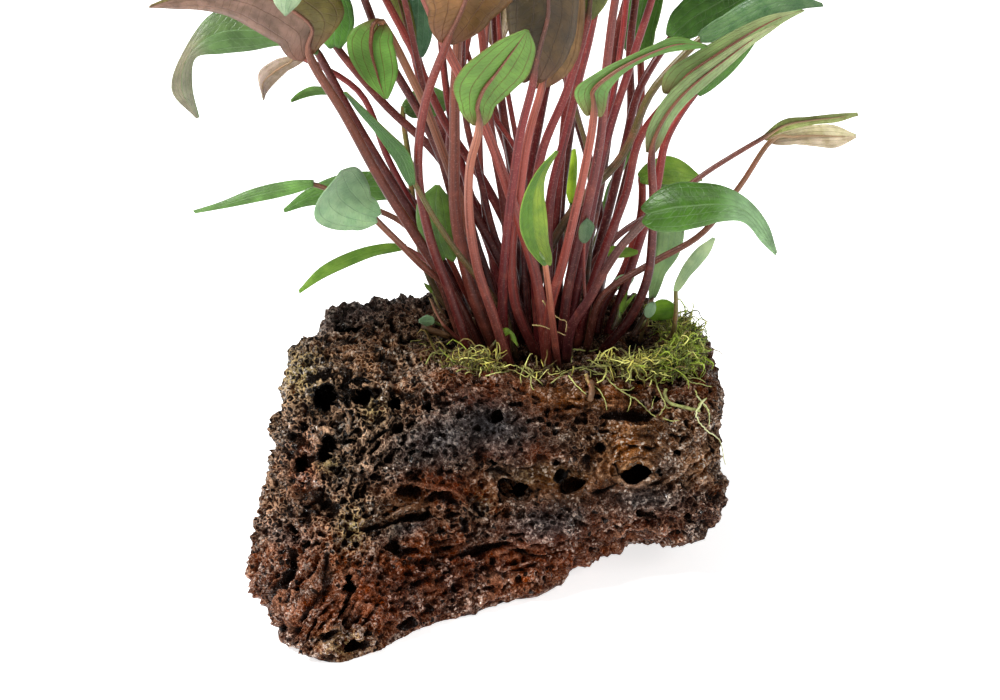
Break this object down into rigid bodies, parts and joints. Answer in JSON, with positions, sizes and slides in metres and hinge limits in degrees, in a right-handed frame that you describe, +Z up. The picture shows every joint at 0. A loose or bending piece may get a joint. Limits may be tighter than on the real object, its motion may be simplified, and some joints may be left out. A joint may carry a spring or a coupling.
{
  "type": "cryptocoryne plant on lava rock",
  "caption": "Bushy aquarium plant with upright wine-red stalks and heart-shaped leaves, rooted with moss on a porous brown lava stone that stands on its flat foot.",
  "frame": {"origin": "on the stone's flat foot, under the middle of the plant's view", "axes": "+Z up, +Y away from the viewer, +X to the viewer's right"},
  "size_m": [0.2017, 0.1699, 0.2167],
  "materials": {
    "lava_stone": "wet porous lava, black to red-brown, glossy on the ridges",
    "moss": "loose yellow-green moss strands",
    "roots": "damp brown root and cut stalk",
    "leaf_green": "satin leaf, mid green, on a wine-red stalk",
    "leaf_light_green": "satin light green underside with red-brown veins, on a wine-red stalk",
    "leaf_blue_green": "satin bluish green leaf",
    "leaf_pinkish": "matt pinkish brown underside with parallel veins",
    "leaf_brown": "matt dark brown underside with parallel veins",
    "leaf_olive": "satin olive leaf"
  },
  "bodies": {
    "root": {"cut_stalk_stub": "roots", "hanging_root": "roots", "lava_stone": "lava_stone", "leaf_behind_round": "leaf_green", "leaf_behind_sheath": "leaf_green", "leaf_big_brown": "leaf_brown", "leaf_big_dark": "leaf_brown", "leaf_blue_right": "leaf_blue_green", "leaf_bright_behind_right": "leaf_green", "leaf_bright_right": "leaf_green", "leaf_bright_short": "leaf_green", "leaf_curled_left": "leaf_green", "leaf_dark_stalk_b": "leaf_green", "leaf_dark_upright_left": "leaf_blue_green", "leaf_far_right_lower": "leaf_pinkish", "leaf_far_right_upper": "leaf_olive", "leaf_folded_centre": "leaf_light_green", "leaf_glossy_right": "leaf_green", "leaf_green_behind_left": "leaf_green", "leaf_grey_arching": "leaf_green", "leaf_grey_between": "leaf_blue_green", "leaf_hanging_green": "leaf_green", "leaf_heart_centre": "leaf_green", "leaf_light_front": "leaf_light_green", "leaf_long_front_stalk": "leaf_green", "leaf_narrow_behind": "leaf_green", "leaf_narrow_far_left": "leaf_green", "leaf_narrow_low_left": "leaf_green", "leaf_olive_oval": "leaf_olive", "leaf_olive_top": "leaf_olive", "leaf_olive_top_left": "leaf_olive", "leaf_pale_arching": "leaf_light_green", "leaf_pink_behind": "leaf_pinkish", "leaf_pink_front_stalk": "leaf_olive", "leaf_pink_left": "leaf_pinkish", "leaf_red_stalk_a": "leaf_green", "leaf_round_bright": "leaf_green", "leaf_round_left": "leaf_blue_green", "leaf_sheathed_stalk": "leaf_green", "leaf_small_beige_left": "leaf_pinkish", "leaf_small_green_left": "leaf_green", "leaf_small_light_right": "leaf_light_green", "leaf_speckled_right": "leaf_green", "leaf_spoon_left": "leaf_green", "leaf_stalk_c": "leaf_green", "leaf_stalk_d": "leaf_green", "leaf_stalk_e": "leaf_green", "leaf_stalk_f": "leaf_green", "leaf_stalk_g": "leaf_green", "leaf_stalk_h": "leaf_green", "leaf_stalk_i": "leaf_green", "leaf_stalk_j": "leaf_green", "leaf_stalk_k": "leaf_green", "leaf_stalk_l": "leaf_green", "leaf_strap_left": "leaf_green", "leaf_top_right": "leaf_green", "leaf_upright_behind": "leaf_green", "leaf_yellow_edge": "leaf_light_green", "moss_cushion": "moss", "thick_root": "roots"}
  },
  "joints": []
}
